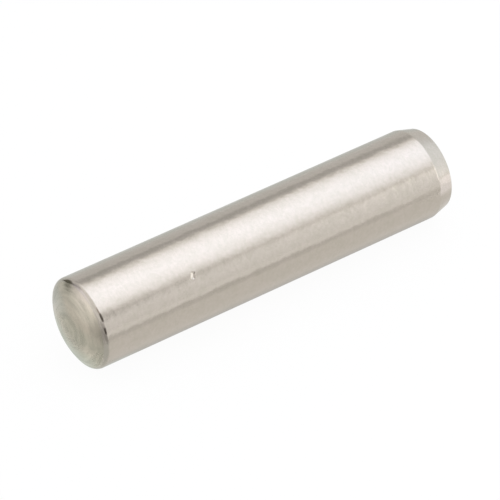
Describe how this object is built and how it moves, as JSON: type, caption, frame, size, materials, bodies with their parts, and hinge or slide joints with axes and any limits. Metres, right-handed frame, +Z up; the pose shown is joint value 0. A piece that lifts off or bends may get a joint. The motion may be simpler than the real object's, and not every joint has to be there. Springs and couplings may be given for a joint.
{
  "type": "dowel pin",
  "caption": "Solid steel parallel pin with a ground cylindrical shank, crowned ends and a tapered lead-in, pressed into reamed holes to hold parts in line.",
  "frame": {"origin": "middle of the ground cylindrical shank, on its axis", "axes": "+X along the pin's axis towards the tapered lead-in end; +Z up as the pin lies on its side; +Y completes the right-handed frame"},
  "size_m": [0.028, 0.006, 0.006],
  "materials": {
    "ground_steel": "hardened steel, centreless-ground bright along the shank and fine-turned on both crowned ends"
  },
  "bodies": {
    "root": {"dowel_pin": "ground_steel"}
  },
  "joints": []
}
